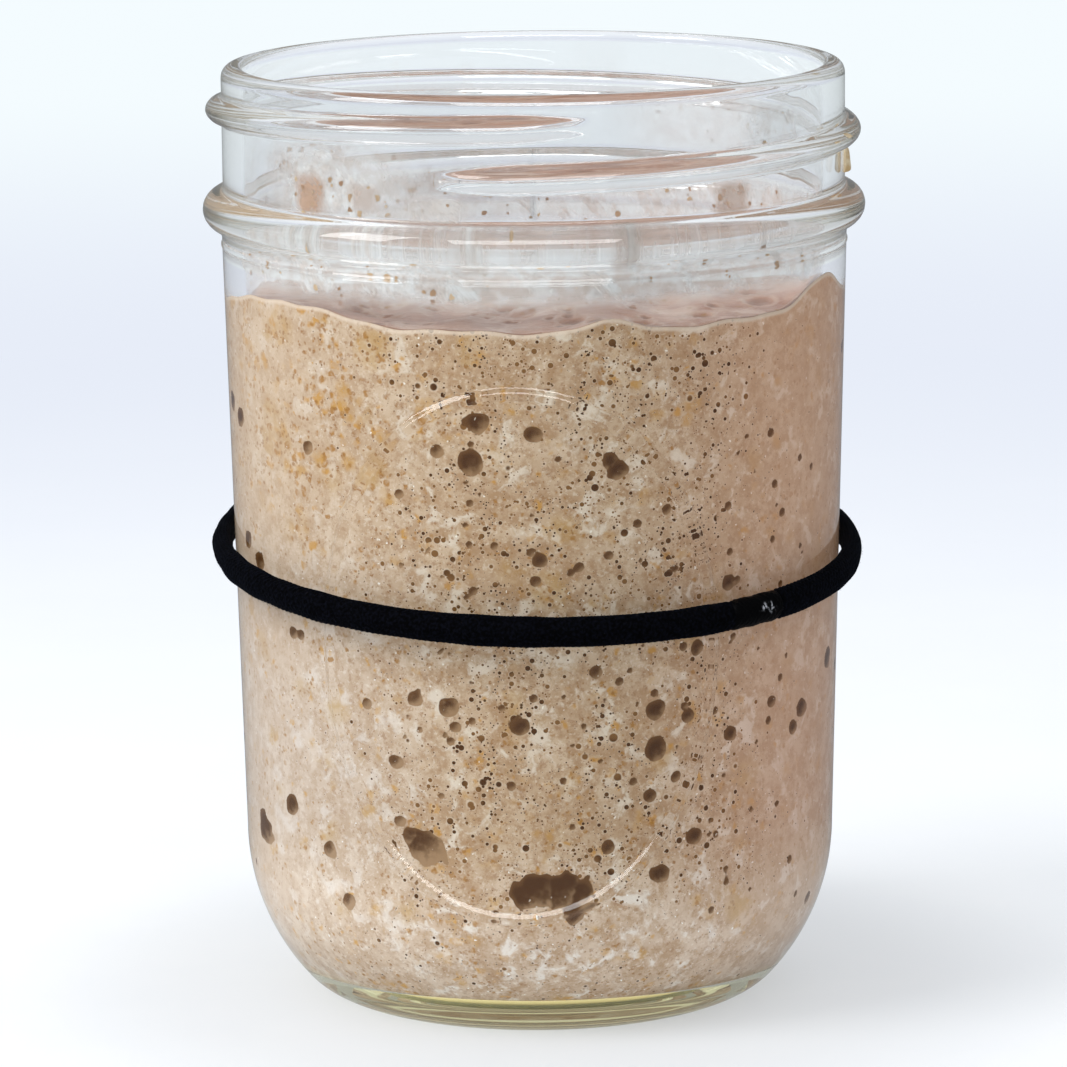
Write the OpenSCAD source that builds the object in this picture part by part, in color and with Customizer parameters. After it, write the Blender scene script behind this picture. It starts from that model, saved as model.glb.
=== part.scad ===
// Sourdough starter in a wide-mouth pint canning jar, with a hair tie as the level marker.
// Origin: centre of the base on the table. +Z is up, and the embossed oval faces -Y.

/* [Jar body] */
// Height of the jar without a lid
jar_h = 124; // [116:1:140]
// Outer diameter just under the bead
body_top_d = 82.2; // [80:0.2:84]
// Outer diameter where the wall turns into the heel
body_low_d = 78.4; // [76:0.2:80]
// Thickness of the body wall
wall_t = 2.9; // [2.4:0.1:3.4]
// Height of the inside floor above the table
floor_h = 5.2; // [4.4:0.2:6.4]
// Radius of the long upper curve of the heel
heel_upper_r = 29; // [24:1:32]
// Radius of the short lower curve of the heel
heel_lower_r = 8.5; // [6:0.5:10]
// Turn of the upper curve of the heel, in degrees
heel_turn = 41.5; // [36:0.5:45]
// Radius of the corner between the inside wall and the floor
corner_r = 14; // [10:1:17]
// Width of the flat ring that the jar stands on
foot_w = 2.6; // [1.6:0.2:3.2]
// Rise of the hollow under the base
pushup_h = 2.4; // [1:0.2:3]

/* [Neck finish] */
// Outer diameter of the neck between the threads
neck_d = 81.8; // [80.6:0.2:82.6]
// Diameter of the mouth
mouth_d = 76; // [74:0.2:76.6]
// Radius of the outer edge of the rim
rim_outer_r = 1.5; // [0.8:0.1:1.6]
// Radius of the inner edge of the rim
rim_inner_r = 0.8; // [0.4:0.1:0.9]
// Diameter over the bead below the threads
bead_d = 87.2; // [86:0.2:88]
// Height of the bead
bead_h = 4.9; // [4:0.1:5.4]
// Distance from the rim down to the middle of the bead
bead_drop = 18.8; // [18:0.2:20]
// Distance from the bead down to where the inside starts to widen
shoulder_drop = 2; // [1:0.2:2]
// Diameter over the thread
thread_d = 86; // [84.6:0.1:86.4]
// Rise of the thread in one turn
thread_pitch = 6.35; // [6:0.05:6.4]
// Width of the thread at its foot
thread_w = 3.4; // [2.6:0.1:3.8]
// Angle that the thread winds through
thread_sweep = 389; // [300:1:400]
// Angle over which each end of the thread fades into the neck
thread_fade = 16; // [8:1:30]
// Where the thread starts, in degrees from the front towards the left
thread_start = 18.5; // [0:0.5:60]
// Distance from the rim down to the middle of the thread at its start
thread_drop = 10.8; // [10.6:0.1:11.2]

/* [Embossed oval] */
// Width of the oval, measured round the wall
oval_w = 53; // [40:1:56]
// Height of the oval
oval_h = 68.5; // [50:0.5:70]
// Height of its middle above the table
oval_z = 52.2; // [50:0.2:56]
// Turn of the oval from the front towards the left, in degrees
oval_turn = 4.2; // [-10:0.1:10]
// Width of its rib at the foot
oval_rib_w = 1.9; // [1.2:0.1:2.4]
// Height of its rib above the wall
oval_rib_h = 0.3; // [0.2:0.05:0.35]

/* [Starter] */
// Height of the starter where it meets the glass
fill_h = 94; // [88:0.2:97]
// Rise of its crown above that height
crown_h = 1.2; // [0:0.2:3]
// Height of the peak that climbs the glass at the right
peak_h = 3.5; // [0:0.1:4]
// Number of large bubbles against the glass
bubble_count = 16; // [0:1:24]
// Radius of the largest bubble
bubble_r = 3.4; // [2:0.1:4]
// Thickness of the dried smears
smear_t = 0.3; // [0.2:0.05:0.5]
// Clear glass between the starter's peak and the lowest smear
smear_gap = 1.5; // [0.5:0.5:4]
// Length of the dried drip below the thread
drip_l = 3.4; // [2:0.2:4]
// Width of the dried drip
drip_w = 2.2; // [1:0.1:3]
// Thickness of the dried drip
drip_t = 1.1; // [0.5:0.1:1.5]

/* [Hair tie] */
// Clearance between the hair tie and the wall at its height
band_gap = 0.73; // [0.73:0.01:0.9]
// Thickness of the hair tie, out from the glass
band_t = 2.25; // [2:0.05:2.8]
// Height of the hair tie, pressed flat on the glass
band_h = 4; // [3.4:0.1:4.6]
// Thickness of its braided sleeve
sleeve_t = 0.45; // [0.35:0.05:0.5]
// Height of its middle above the table
band_z = 59.8; // [56:0.2:64]
// Slope of the hair tie, lower at the front, in degrees
band_slope = 5; // [0:0.5:5]
// Slope of the hair tie, lower at the right, in degrees
band_lean = 1; // [0:0.5:1]
// Length of the glued joint
joint_l = 9.5; // [5:0.5:12]
// Where the joint lies, in degrees from the front towards the right
joint_turn = 41.5; // [0:0.5:180]

/* [Hidden] */
$fn = 96;
front = 270;
arc_steps = 10;

// Main heights and radii of the glass
neck_r = neck_d / 2;
mouth_r = mouth_d / 2;
body_top_r = body_top_d / 2;
body_low_r = body_low_d / 2;
bead_z = jar_h - bead_drop;
body_top_z = bead_z - bead_h;
heel_z = heel_lower_r * (1 - sin(heel_turn)) + heel_upper_r * sin(heel_turn);
foot_r = body_low_r - heel_lower_r * cos(heel_turn) - heel_upper_r * (1 - cos(heel_turn));
shoulder_z = bead_z - bead_h / 2 - shoulder_drop;

// Points along an arc about c, from angle a0 to angle a1
function arc(c, r, a0, a1, n = arc_steps) =
    [for (i = [0:n]) c + r * [cos(a0 + (a1 - a0) * i / n), sin(a0 + (a1 - a0) * i / n)]];

// Eases from 0 to 1 with level ends
function ease(x) = x <= 0 ? 0 : x >= 1 ? 1 : x * x * (3 - 2 * x);

// Outer radius of the body at height z, above the lower curve of the heel
function wall_r(z) =
    z >= heel_z
        ? body_low_r + (body_top_r - body_low_r) * (z - heel_z) / (body_top_z - heel_z)
        : body_low_r - heel_upper_r + sqrt(max(0, pow(heel_upper_r, 2) - pow(heel_z - z, 2)));

// Inner radius of the body at height z, above the rounded corner of the floor
corner_z = floor_h + corner_r;
corner_in_r = wall_r(corner_z) - wall_t;
function inner_r(z) =
    z >= heel_z
        ? wall_r(z) - wall_t
        : corner_in_r + (wall_r(heel_z) - wall_t - corner_in_r) * (z - corner_z) / (heel_z - corner_z);

// Outline of the outside, from the middle of the base up to the rim
pushup_half = foot_r - foot_w;
pushup_r = (pow(pushup_half, 2) + pow(pushup_h, 2)) / (2 * pushup_h);
pushup_a = asin(pushup_half / pushup_r);
bead_r = bead_h / 2;
outside = concat(
    arc([0, pushup_h - pushup_r], pushup_r, 90, 90 - pushup_a),
    arc([foot_r, heel_lower_r], heel_lower_r, -90, -heel_turn),
    arc([body_low_r - heel_upper_r, heel_z], heel_upper_r, -heel_turn, 0),
    [[body_top_r, body_top_z]],
    arc([bead_d / 2 - bead_r, bead_z], bead_r, -75, 90),
    [[neck_r, bead_z + bead_r]],
    arc([neck_r - rim_outer_r, jar_h - rim_outer_r], rim_outer_r, 0, 90)
);

// Outline of the space inside, from the floor up to a height
function inside_below(top) = concat(
    [[0, floor_h]],
    arc([corner_in_r - corner_r, corner_z], corner_r, -90, 0),
    [[inner_r(heel_z), heel_z], [inner_r(min(top, body_top_z)), min(top, body_top_z)]]
);
inside = concat(
    inside_below(body_top_z),
    [[mouth_r, shoulder_z]],
    arc([mouth_r + rim_inner_r, jar_h - rim_inner_r], rim_inner_r, 180, 90)
);

// Joins rings of points into one skin: a closed loop, or a tube with flat ends.
// Each ring runs clockwise, as seen from the ring before it.
module skin(rings, closed) {
    n = len(rings);
    m = len(rings[0]);
    last = closed ? n - 1 : n - 2;
    walls = [
        for (i = [0:last], j = [0:m - 1], k = [0, 1])
            let (a = i * m, b = ((i + 1) % n) * m, j2 = (j + 1) % m)
            k == 0 ? [a + j, b + j2, a + j2] : [a + j, b + j, b + j2]
    ];
    ends = closed ? [] : [
        for (j = [1:m - 2]) [0, j, j + 1],
        for (j = [1:m - 2]) [(n - 1) * m, (n - 1) * m + j + 1, (n - 1) * m + j]
    ];
    polyhedron(points = [for (r = rings) each r], faces = concat(walls, ends), convexity = 6);
}

// Cross-section of a rounded rib, as [across, out] from the wall: half an ellipse of width w
// that stands h above the wall and is rooted below it
function rib(w, h, root) =
    [for (i = [0:6]) [w / 2 * cos(30 * i), (h + root) * sin(30 * i) - root]];

// The thread winds up to the right from its start at the front left
thread_step = 4;
thread_n = ceil(thread_sweep / thread_step);
thread_root = 0.4;
module thread() {
    skin([
        for (i = [0:thread_n])
            let (
                turn = thread_sweep * i / thread_n,
                swell = ease(min(turn, thread_sweep - turn) / thread_fade),
                a = front - thread_start + turn,
                z = jar_h - thread_drop + thread_pitch * turn / 360,
                h = (thread_d - neck_d) / 2 * swell - thread_root / 2 * (1 - swell)
            )
            [for (p = rib(thread_w * (0.4 + 0.6 * swell), h, thread_root))
                let (r = neck_r + p[1])
                [r * cos(a), r * sin(a), z + p[0]]]
    ], false);
}

// The oval rib follows an ellipse that is wrapped round the tapered wall
oval_n = 96;
oval_root = 0.15;
module oval_ring() {
    mid_r = wall_r(oval_z);
    skin([
        for (i = [0:oval_n - 1])
            let (
                t = 360 * i / oval_n,
                s = oval_w / 2 * cos(t),
                z = oval_z + oval_h / 2 * sin(t),
                out = [oval_h * cos(t), oval_w * sin(t)] / norm([oval_h * cos(t), oval_w * sin(t)])
            )
            [for (p = rib(oval_rib_w, oval_rib_h, oval_root))
                let (
                    s2 = s + p[0] * out[0],
                    z2 = z + p[0] * out[1],
                    a = front - oval_turn + s2 / mid_r * 180 / PI,
                    r = wall_r(z2) + p[1]
                )
                [r * cos(a), r * sin(a), z2]]
    ], true);
}

// One piece of pressed glass
module jar() {
    color([0.86, 0.91, 0.88, 0.45])
    union() {
        rotate_extrude() polygon(concat(outside, [for (i = [len(inside) - 1:-1:0]) inside[i]]));
        thread();
        oval_ring();
    }
}

// Places where the starter climbs the glass, each as degrees right of the front, share of the
// peak's height, and half width in degrees
climbs = [[69, 1, 12], [-55, 0.62, 20], [14, 0.35, 7], [160, 0.4, 25]];

// Mounds and dips of the skin, each as place to the right, place to the back, height and reach
mounds = [
    [20, -3, 2.2, 14], [-20, 8, 1.6, 14], [2, 24, 1.2, 12], [-7, -15, -1.3, 11], [-26, -11, 1.1, 5.5],
    [10, 13, -1.2, 5], [-13, 23, -1.1, 5], [28, 10, -1.1, 4.5], [7, -27, 1.1, 5.5], [-20, -23, -1, 5],
    [-3, 4, 1.2, 5], [16, -17, -1.2, 4.5], [-31, 6, -1.1, 4.5], [24, -20, 0.9, 4.5], [-3, -5, -0.9, 4]
];

// Sum of a list of numbers
function sum(list) = list * [for (n = list) 1];

// Height of the starter's skin at angle a, at a share t of the inner radius
function skin_z(a, t) =
    let (
        x = t * mouth_r * cos(a),
        y = t * mouth_r * sin(a),
        climb = [for (c = climbs) c[1] * exp(-pow(((a - front - c[0] + 900) % 360 - 180) / c[2], 2))],
        mound = [for (m = mounds) m[2] * exp(-(pow(x - m[0], 2) + pow(y - m[1], 2)) / pow(m[3], 2))]
    )
    fill_h + crown_h * (1 - t * t) + (1 - pow(t, 6)) * sum(mound)
    + pow(t, 6) * (peak_h * sum(climb) + 0.2 * sin(13 * a));

// Solid below the wavy skin, from height low up, with its edge on the tapered wall.
// Its foot is set in from the wall, inside the solid that it stands in.
skin_rings = 10;
skin_sides = 72;
foot_inset = 0.1;
module crown(low) {
    side = [for (j = [0:skin_sides - 1]) 360 * j / skin_sides];
    low_r = inner_r(low) - foot_inset;
    rings = [for (i = [1:skin_rings], a = side)
        let (t = i / skin_rings, r = t * inner_r(skin_z(a, 1))) [r * cos(a), r * sin(a), skin_z(a, t)]];
    floor_ring = [for (a = side) [low_r * cos(a), low_r * sin(a), low]];
    points = concat([[0, 0, skin_z(0, 0)]], rings, floor_ring, [[0, 0, low]]);
    n = skin_sides;
    top = [for (j = [0:n - 1]) [0, 1 + (j + 1) % n, 1 + j]];
    bands = [
        for (i = [0:skin_rings - 1], j = [0:n - 1], k = [0, 1])
            let (a = 1 + i * n, b = a + n, j2 = (j + 1) % n)
            k == 0 ? [a + j, a + j2, b + j2] : [a + j, b + j2, b + j]
    ];
    base = [for (j = [0:n - 1]) [len(points) - 1, 1 + skin_rings * n + j, 1 + skin_rings * n + (j + 1) % n]];
    polyhedron(points = points, faces = concat(top, bands, base), convexity = 4);
}

// Flour and water starter, full of gas, that fills the jar up to its skin
crown_low = fill_h - 4;
bubble_low = floor_h + 3 * bubble_r;
bubble_high = crown_low - 2 * bubble_r;
module starter() {
    color([0.80, 0.70, 0.60])
    difference() {
        union() {
            rotate_extrude() polygon(concat(inside_below(crown_low), [[0, crown_low]]));
            crown(crown_low - 1);
        }
        for (i = [1:1:bubble_count]) {
            z = bubble_low + (bubble_high - bubble_low) * (i * 0.618034 % 1);
            r = bubble_r * (0.35 + 0.65 * (i * 0.754878 % 1));
            rotate([0, 0, i * 137.5]) translate([inner_r(max(z, corner_z)), 0, z]) sphere(r, $fn = 12);
        }
    }
}

// Dried smears on the free glass between the starter and the rim, each as degrees right of the
// front, sweep in degrees, and lower and upper edge as shares of that height
smears = [
    [-60, 34, 0.3, 0.64], [-24, 10, 0.22, 0.38], [-70, 18, 0.1, 0.2],
    [40, 6, 0.22, 0.42], [50, 14, 0.6, 0.9]
];
free_low = max(fill_h + peak_h, shoulder_z) + smear_gap;
free_h = jar_h - rim_inner_r - free_low;
module neck_smears() {
    color([0.86, 0.80, 0.72])
    for (s = smears) {
        low = free_low + s[2] * free_h;
        high = free_low + s[3] * free_h;
        edge = (high - low) / 5;
        in_r = mouth_r - smear_t;
        rotate_extrude(angle = s[1], start = front + s[0])
            polygon([[mouth_r, low], [mouth_r, high], [in_r, high - edge], [in_r, low + edge]]);
    }
}

// Dried drip that ran over the thread at the right, clear of the rib above it
drip_turn = 84;
module thread_drip() {
    drip_a = drip_w / neck_r * 180 / PI;
    rib_low = jar_h - thread_drop + thread_pitch * (drip_turn + thread_start) / 360 - thread_w / 2;
    color([0.74, 0.62, 0.46])
    rotate_extrude(angle = drip_a, start = front + drip_turn - drip_a / 2)
        polygon([[neck_r, rib_low], [neck_r + drip_t, rib_low - 0.1],
                 [neck_r + 0.6 * drip_t, rib_low - 0.7 * drip_l], [neck_r, rib_low - drip_l]]);
}

// The hair tie's ring lies on a slope, and sits a little forward so that its gaps are even
band_in_r = wall_r(band_z) + band_gap;
band_mid_r = band_in_r + band_t / 2;
joint_a = joint_l / band_mid_r * 180 / PI;
module on_band() {
    translate([0, -0.1, band_z]) rotate([band_slope, band_lean, 0]) children();
}

// Upright strip with round ends: thickness t, height h, its middle at the ring's radius
module strip(t, h) {
    translate([band_mid_r, 0]) {
        square([t, h - t], center = true);
        for (s = [-1, 1]) translate([0, s * (h - t) / 2]) circle(t / 2, $fn = 32);
    }
}

// Braided sleeve, open where its ends meet in the glued joint
module band_sleeve() {
    color([0.03, 0.03, 0.05])
    on_band()
    rotate_extrude(angle = 360 - joint_a, start = front + joint_turn + joint_a / 2)
    difference() {
        strip(band_t, band_h);
        strip(band_t - 2 * sleeve_t, band_h - 2 * sleeve_t);
    }
}

// Rubber strands inside the sleeve, in two columns
strand_rows = 5;
strand_gap = 0.03;
module band_core() {
    room_t = band_t - 2 * sleeve_t;
    room_h = band_h - 2 * sleeve_t - room_t / 2;
    strand_r = min(room_t / 2, room_h / strand_rows) / 2 - strand_gap;
    color([0.12, 0.11, 0.11])
    on_band()
    for (side = [-1, 1], row = [0:strand_rows - 1])
        rotate_extrude(angle = 360 - joint_a, start = front + joint_turn + joint_a / 2)
        translate([band_mid_r + side * (strand_r + strand_gap / 2),
                   (row - (strand_rows - 1) / 2) * room_h / strand_rows])
        circle(strand_r, $fn = 16);
}

// Clear glue that holds the two ends together
module band_joint() {
    color([0.10, 0.10, 0.12])
    on_band()
    rotate_extrude(angle = joint_a, start = front + joint_turn - joint_a / 2)
    strip(band_t, band_h - 0.2);
}

jar();
starter();
neck_smears();
thread_drip();
band_sleeve();
band_core();
band_joint();
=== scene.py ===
import bmesh
import bpy
import numpy as np
from mathutils import Matrix


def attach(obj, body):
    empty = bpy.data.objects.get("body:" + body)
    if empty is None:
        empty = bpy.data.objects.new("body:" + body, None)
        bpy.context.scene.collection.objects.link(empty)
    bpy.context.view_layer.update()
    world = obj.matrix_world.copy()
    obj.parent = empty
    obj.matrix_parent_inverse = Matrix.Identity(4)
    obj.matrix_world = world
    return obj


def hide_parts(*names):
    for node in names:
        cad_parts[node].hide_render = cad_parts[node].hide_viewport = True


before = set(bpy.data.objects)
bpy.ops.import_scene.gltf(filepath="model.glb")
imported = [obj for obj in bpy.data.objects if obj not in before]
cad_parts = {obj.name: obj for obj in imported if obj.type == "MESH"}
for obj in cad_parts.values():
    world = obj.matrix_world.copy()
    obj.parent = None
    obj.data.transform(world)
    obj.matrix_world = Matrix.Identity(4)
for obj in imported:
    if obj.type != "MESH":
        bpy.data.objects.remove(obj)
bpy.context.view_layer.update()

# Jar. One piece of pressed soda-lime glass: it stands on a ring round a hollow, rises over a long
# heel into a wall that widens a little, and ends in a bead, a screw neck and a fire-polished rim.
# An empty oval is embossed on its front.
mm = 0.001
jar_h = 124.0
neck_r = 40.9
mouth_r = 38.0
wall_t = 2.9
floor_h = 5.2
body_low_r = 39.2
body_top_r = 41.1
heel_upper_r = 29.0
heel_lower_r = 8.5
heel_turn = np.radians(41.5)
foot_w = 2.6
pushup_h = 2.4
corner_r = 14.0
bead_out_r = 43.57
bead_r = 2.45
bead_z = jar_h - 18.8
body_top_z = bead_z - 2 * bead_r
heel_z = heel_lower_r * (1 - np.sin(heel_turn)) + heel_upper_r * np.sin(heel_turn)
foot_r = body_low_r - heel_lower_r * np.cos(heel_turn) - heel_upper_r * (1 - np.cos(heel_turn))
corner_z = floor_h + corner_r
shoulder_z = bead_z - bead_r - 2.0


def run(stops, steps):
    """Numbers that pass through the stops, with that many equal steps between neighbours."""
    parts = [np.linspace(a, b, n, endpoint=False) for a, b, n in zip(stops, stops[1:], steps)]
    return np.append(np.concatenate(parts), stops[-1])


def arc(centre_r, centre_z, radius, a0, a1, steps):
    """Points (r, z) on a circle about the centre, from angle a0 to a1 in degrees, 0 pointing outwards."""
    a = np.radians(np.linspace(a0, a1, steps + 1))
    return np.stack([centre_r + radius * np.cos(a), centre_z + radius * np.sin(a)], -1)


def wall_r(z):
    """Outer radius at height z: a cone above the heel, the heel's long upper arc below it."""
    cone = body_low_r + (body_top_r - body_low_r) * (z - heel_z) / (body_top_z - heel_z)
    drop = np.clip(heel_z - z, 0, heel_upper_r)
    bend = body_low_r - heel_upper_r + np.sqrt(heel_upper_r**2 - drop**2)
    return np.where(z >= heel_z, cone, bend)


corner_in_r = float(wall_r(corner_z)) - wall_t


def inner_r(z):
    """Inner radius at height z: the wall's thickness inside it, and below the heel a straight
    run down to the rounded corner of the floor."""
    heel_in_r = body_low_r - wall_t
    run_in = corner_in_r + (heel_in_r - corner_in_r) * (z - corner_z) / (heel_z - corner_z)
    bend = corner_in_r - corner_r + np.sqrt(np.maximum(corner_r**2 - np.clip(corner_z - z, 0, corner_r) ** 2, 0))
    return np.where(z >= heel_z, wall_r(z) - wall_t, np.where(z >= corner_z, run_in, bend))


def around_of(turn, reference=0.0):
    """Degrees from the reference to the turn, the short way round, positive to the right."""
    return (turn - reference + 180) % 360 - 180


def piece_of(name, points, faces):
    """A smooth mesh of those points, in mm, linked to the scene."""
    mesh = bpy.data.meshes.new(name)
    mesh.from_pydata(points * mm, [], faces)
    mesh.polygons.foreach_set("use_smooth", np.ones(len(mesh.polygons), bool))
    piece = bpy.data.objects.new(name, mesh)
    bpy.context.scene.collection.objects.link(piece)
    return piece


def skin_of(name, r, z, turn):
    """Closed skin on a grid: row i, column j lies at radius r[i, j] and height z[i, j] in mm, turned
    by turn[j] degrees from the front to the right. The first and last rows shrink to one point."""
    rows, cols = r.shape
    a = np.radians(turn)[None, :]
    ring = np.stack([r * np.sin(a), -r * np.cos(a), z], -1)[1:-1]
    ends = [[0, 0, z[0, 0]], [0, 0, z[-1, 0]]]
    j = np.arange(cols)
    k = (j + 1) % cols
    at = 2 + np.arange((rows - 2) * cols).reshape(rows - 2, cols)
    quads = np.stack([at[:-1, j], at[:-1, k], at[1:, k], at[1:, j]], -1).reshape(-1, 4)
    low = np.stack([np.zeros(cols, int), at[0, k], at[0, j]], -1)
    high = np.stack([np.ones(cols, int), at[-1, j], at[-1, k]], -1)
    points = np.concatenate([ends, ring.reshape(-1, 3)])
    return piece_of(name, points, quads.tolist() + low.tolist() + high.tolist())


def swell_of(x):
    """Eases from 0 to 1 with level ends."""
    x = np.clip(x, 0, 1)
    return x * x * (3 - 2 * x)


thread_out = 2.1
thread_w = 3.7
thread_pitch = 6.35
thread_start = 18.5
thread_sweep = 389.0
thread_fade = 16.0
thread_low = jar_h - 10.8


def thread_out_at(turn, z):
    """How far the thread stands out: a rounded rib whose middle climbs one pitch in each turn, and
    that swells from nothing at its start and fades at its end."""
    out = np.zeros(np.broadcast(turn, z).shape)
    for lap in (0, 1):
        wound = (turn + thread_start) % 360 + 360 * lap
        left = np.minimum(wound, thread_sweep - wound)
        swell = swell_of(left / thread_fade)
        x = (z - thread_low - thread_pitch * wound / 360) / (thread_w / 2 * (0.6 + 0.4 * swell))
        rib = np.clip(1 - x * x, 0, 1) ** 0.7 * swell_of((1 - np.abs(x)) / 0.25)
        out = np.maximum(out, thread_out * swell * rib)
    return out


oval_turn = -4.2
oval_half_w = 26.5
oval_half_h = 34.25
oval_z = 52.2
oval_out = 0.5
oval_rib_w = 2.2


def oval_out_at(turn, z):
    """How far the oval's rib stands out. The distance from the ellipse is its equation's value
    divided by that value's slope."""
    across = np.radians(turn - oval_turn) * float(wall_r(oval_z))
    up = z - oval_z
    value = np.sqrt((across / oval_half_w) ** 2 + (up / oval_half_h) ** 2) + 1e-9
    slope = np.sqrt((across / oval_half_w**2) ** 2 + (up / oval_half_h**2) ** 2) / value + 1e-9
    x = (value - 1) / slope / (oval_rib_w / 2)
    return oval_out * np.cos(np.pi / 2 * np.clip(x, -1, 1)) ** 2


pushup_half = foot_r - foot_w
pushup_r = (pushup_half**2 + pushup_h**2) / (2 * pushup_h)
hollow = np.linspace(0, pushup_half, 12)[:-1]
low_z = run([13.0, 21.0, 33.0, 71.0, 83.0, 89.0, body_top_z - 0.3], [26, 22, 34, 22, 20, 12])
neck_z = run([bead_z + bead_r + 0.5, 110.4, jar_h - 1.6], [7, 56])
inside_z = run([jar_h - 0.8, shoulder_z, body_top_z, 75.0, corner_z], [26, 1, 16, 22])
upper_heel = arc(body_low_r - heel_upper_r, heel_z, heel_upper_r, -41.5, -18.2, 11)
outline = np.concatenate([
    np.stack([hollow, pushup_h - pushup_r + np.sqrt(pushup_r**2 - hollow**2)], -1),
    [[pushup_half, 0.0], [pushup_half + 0.4, 0.0]],
    arc(foot_r, heel_lower_r, heel_lower_r, -90, -41.5, 9)[:-1],
    upper_heel[:-1],
    np.stack([wall_r(low_z), low_z], -1),
    [[41.12, 100.25], [41.24, 100.45], [41.24, 100.7], [41.12, 100.9], [41.12, 101.6], [41.3, 102.3]],
    arc(bead_out_r - bead_r, bead_z, bead_r, -72, 78, 18),
    [[41.25, bead_z + bead_r + 0.08], [40.98, bead_z + bead_r + 0.22]],
    np.stack([np.full(neck_z.size, neck_r), neck_z], -1),
    arc(neck_r - 1.5, jar_h - 1.5, 1.5, 8, 90, 9),
    arc(mouth_r + 0.8, jar_h - 0.8, 0.8, 90, 172, 7),
    np.stack([np.where(inside_z >= shoulder_z, mouth_r, inner_r(inside_z)), inside_z], -1),
    arc(corner_in_r - corner_r, corner_z, corner_r, -6, -90, 13),
    np.stack([np.linspace(corner_in_r - corner_r, 0, 9)[1:], np.full(8, floor_h)], -1),
])
columns = oval_turn + run(
    [-180, -60, -42.5, -33.5, -17, 17, 33.5, 42.5, 60, 180], [38, 12, 24, 34, 56, 34, 24, 12, 38])[:-1]
rim_row = int(np.argmax(outline[:, 1] >= jar_h - 1.55))
outer = (np.arange(len(outline)) < rim_row)[:, None]
grid_z = np.repeat(outline[:, 1:], columns.size, 1)
grid_r = np.repeat(outline[:, :1], columns.size, 1)
on_neck = outer & (grid_z > bead_z + bead_r)
on_wall = outer & (grid_z > 12) & (grid_z < body_top_z)
inside = (np.arange(len(outline)) > rim_row + 18)[:, None] & (grid_r > 12)
around = np.radians(columns)[None, :]
grid_r = grid_r + on_neck * thread_out_at(columns[None, :], grid_z) + on_wall * oval_out_at(columns[None, :], grid_z)
ripple = 0.018 * np.sin(3 * around + grid_z / 8) + 0.012 * np.sin(7 * around - grid_z / 5 + 1)
grid_r = grid_r + inside * ripple * swell_of((jar_h - 2 - grid_z) / 6)
jar = skin_of("glass_jar", grid_r, grid_z, columns)
# Along the oval the shading follows the true slope of the relief, which is finer than the mesh.
step = 0.05
slope_z = (wall_r(grid_z + step) + oval_out_at(columns[None, :], grid_z + step)
           - wall_r(grid_z - step) - oval_out_at(columns[None, :], grid_z - step)) / (2 * step)
turn_step = np.degrees(step / body_low_r)
slope_a = (oval_out_at(columns[None, :] + turn_step, grid_z) - oval_out_at(columns[None, :] - turn_step, grid_z)) / (2 * step)
slope_a = slope_a * body_low_r / grid_r.clip(1)
facing = np.stack([np.sin(around) - slope_a * np.cos(around), -np.cos(around) - slope_a * np.sin(around), -slope_z], -1)
facing /= np.linalg.norm(facing, axis=-1, keepdims=True)
normals = np.empty(len(jar.data.vertices) * 3, np.float32)
jar.data.vertices.foreach_get("normal", normals)
normals = normals.reshape(-1, 3)
near_oval = (on_wall & (oval_out_at(columns[None, :], grid_z) > 0))[1:-1].ravel()
normals[2:][near_oval] = facing[1:-1].reshape(-1, 3)[near_oval]
jar.data.normals_split_custom_set_from_vertices(normals.tolist())

glass = bpy.data.materials.new("pressed_glass")
glass.use_nodes = True
nodes, links = glass.node_tree.nodes, glass.node_tree.links
shader = nodes["Principled BSDF"]
shader.inputs["Roughness"].default_value = 0.0
shader.inputs["IOR"].default_value = 1.5
shader.inputs["Transmission Weight"].default_value = 1.0
# Light that lamps and soft surfaces send passes straight through, so that what is inside is lit.
ray = nodes.new("ShaderNodeLightPath")
either = nodes.new("ShaderNodeMath")
either.operation = "MAXIMUM"
links.new(ray.outputs["Is Shadow Ray"], either.inputs[0])
links.new(ray.outputs["Is Diffuse Ray"], either.inputs[1])
clear = nodes.new("ShaderNodeBsdfTransparent")
clear.inputs["Color"].default_value = (0.95, 0.96, 0.95, 1)
mix = nodes.new("ShaderNodeMixShader")
links.new(either.outputs[0], mix.inputs["Fac"])
links.new(shader.outputs[0], mix.inputs[1])
links.new(clear.outputs[0], mix.inputs[2])
links.new(mix.outputs[0], nodes["Material Output"].inputs["Surface"])
# Iron in the glass takes a little blue and red, which shows most in the thick foot, and from a little
# below the bead upwards the glass is tinted a little grey-blue.
height = nodes.new("ShaderNodeSeparateXYZ")
links.new(nodes.new("ShaderNodeTexCoord").outputs["Object"], height.inputs[0])
foot = nodes.new("ShaderNodeMapRange")
foot.interpolation_type = "SMOOTHSTEP"
foot.inputs["From Min"].default_value = 0.0066
foot.inputs["From Max"].default_value = 0.0046
links.new(height.outputs[2], foot.inputs["Value"])
neck = nodes.new("ShaderNodeMapRange")
neck.interpolation_type = "SMOOTHSTEP"
neck.inputs["From Min"].default_value = 0.097
neck.inputs["From Max"].default_value = 0.101
links.new(height.outputs[2], neck.inputs["Value"])
dull = nodes.new("ShaderNodeMix")
dull.data_type = "RGBA"
dull.inputs[6].default_value = (1, 1, 1, 1)
dull.inputs[7].default_value = (0.93, 0.94, 0.955, 1)
links.new(neck.outputs[0], dull.inputs["Factor"])
olive = nodes.new("ShaderNodeMix")
olive.data_type = "RGBA"
links.new(dull.outputs[2], olive.inputs[6])
olive.inputs[7].default_value = (1.0, 0.96, 0.60, 1)
links.new(foot.outputs[0], olive.inputs["Factor"])
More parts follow.
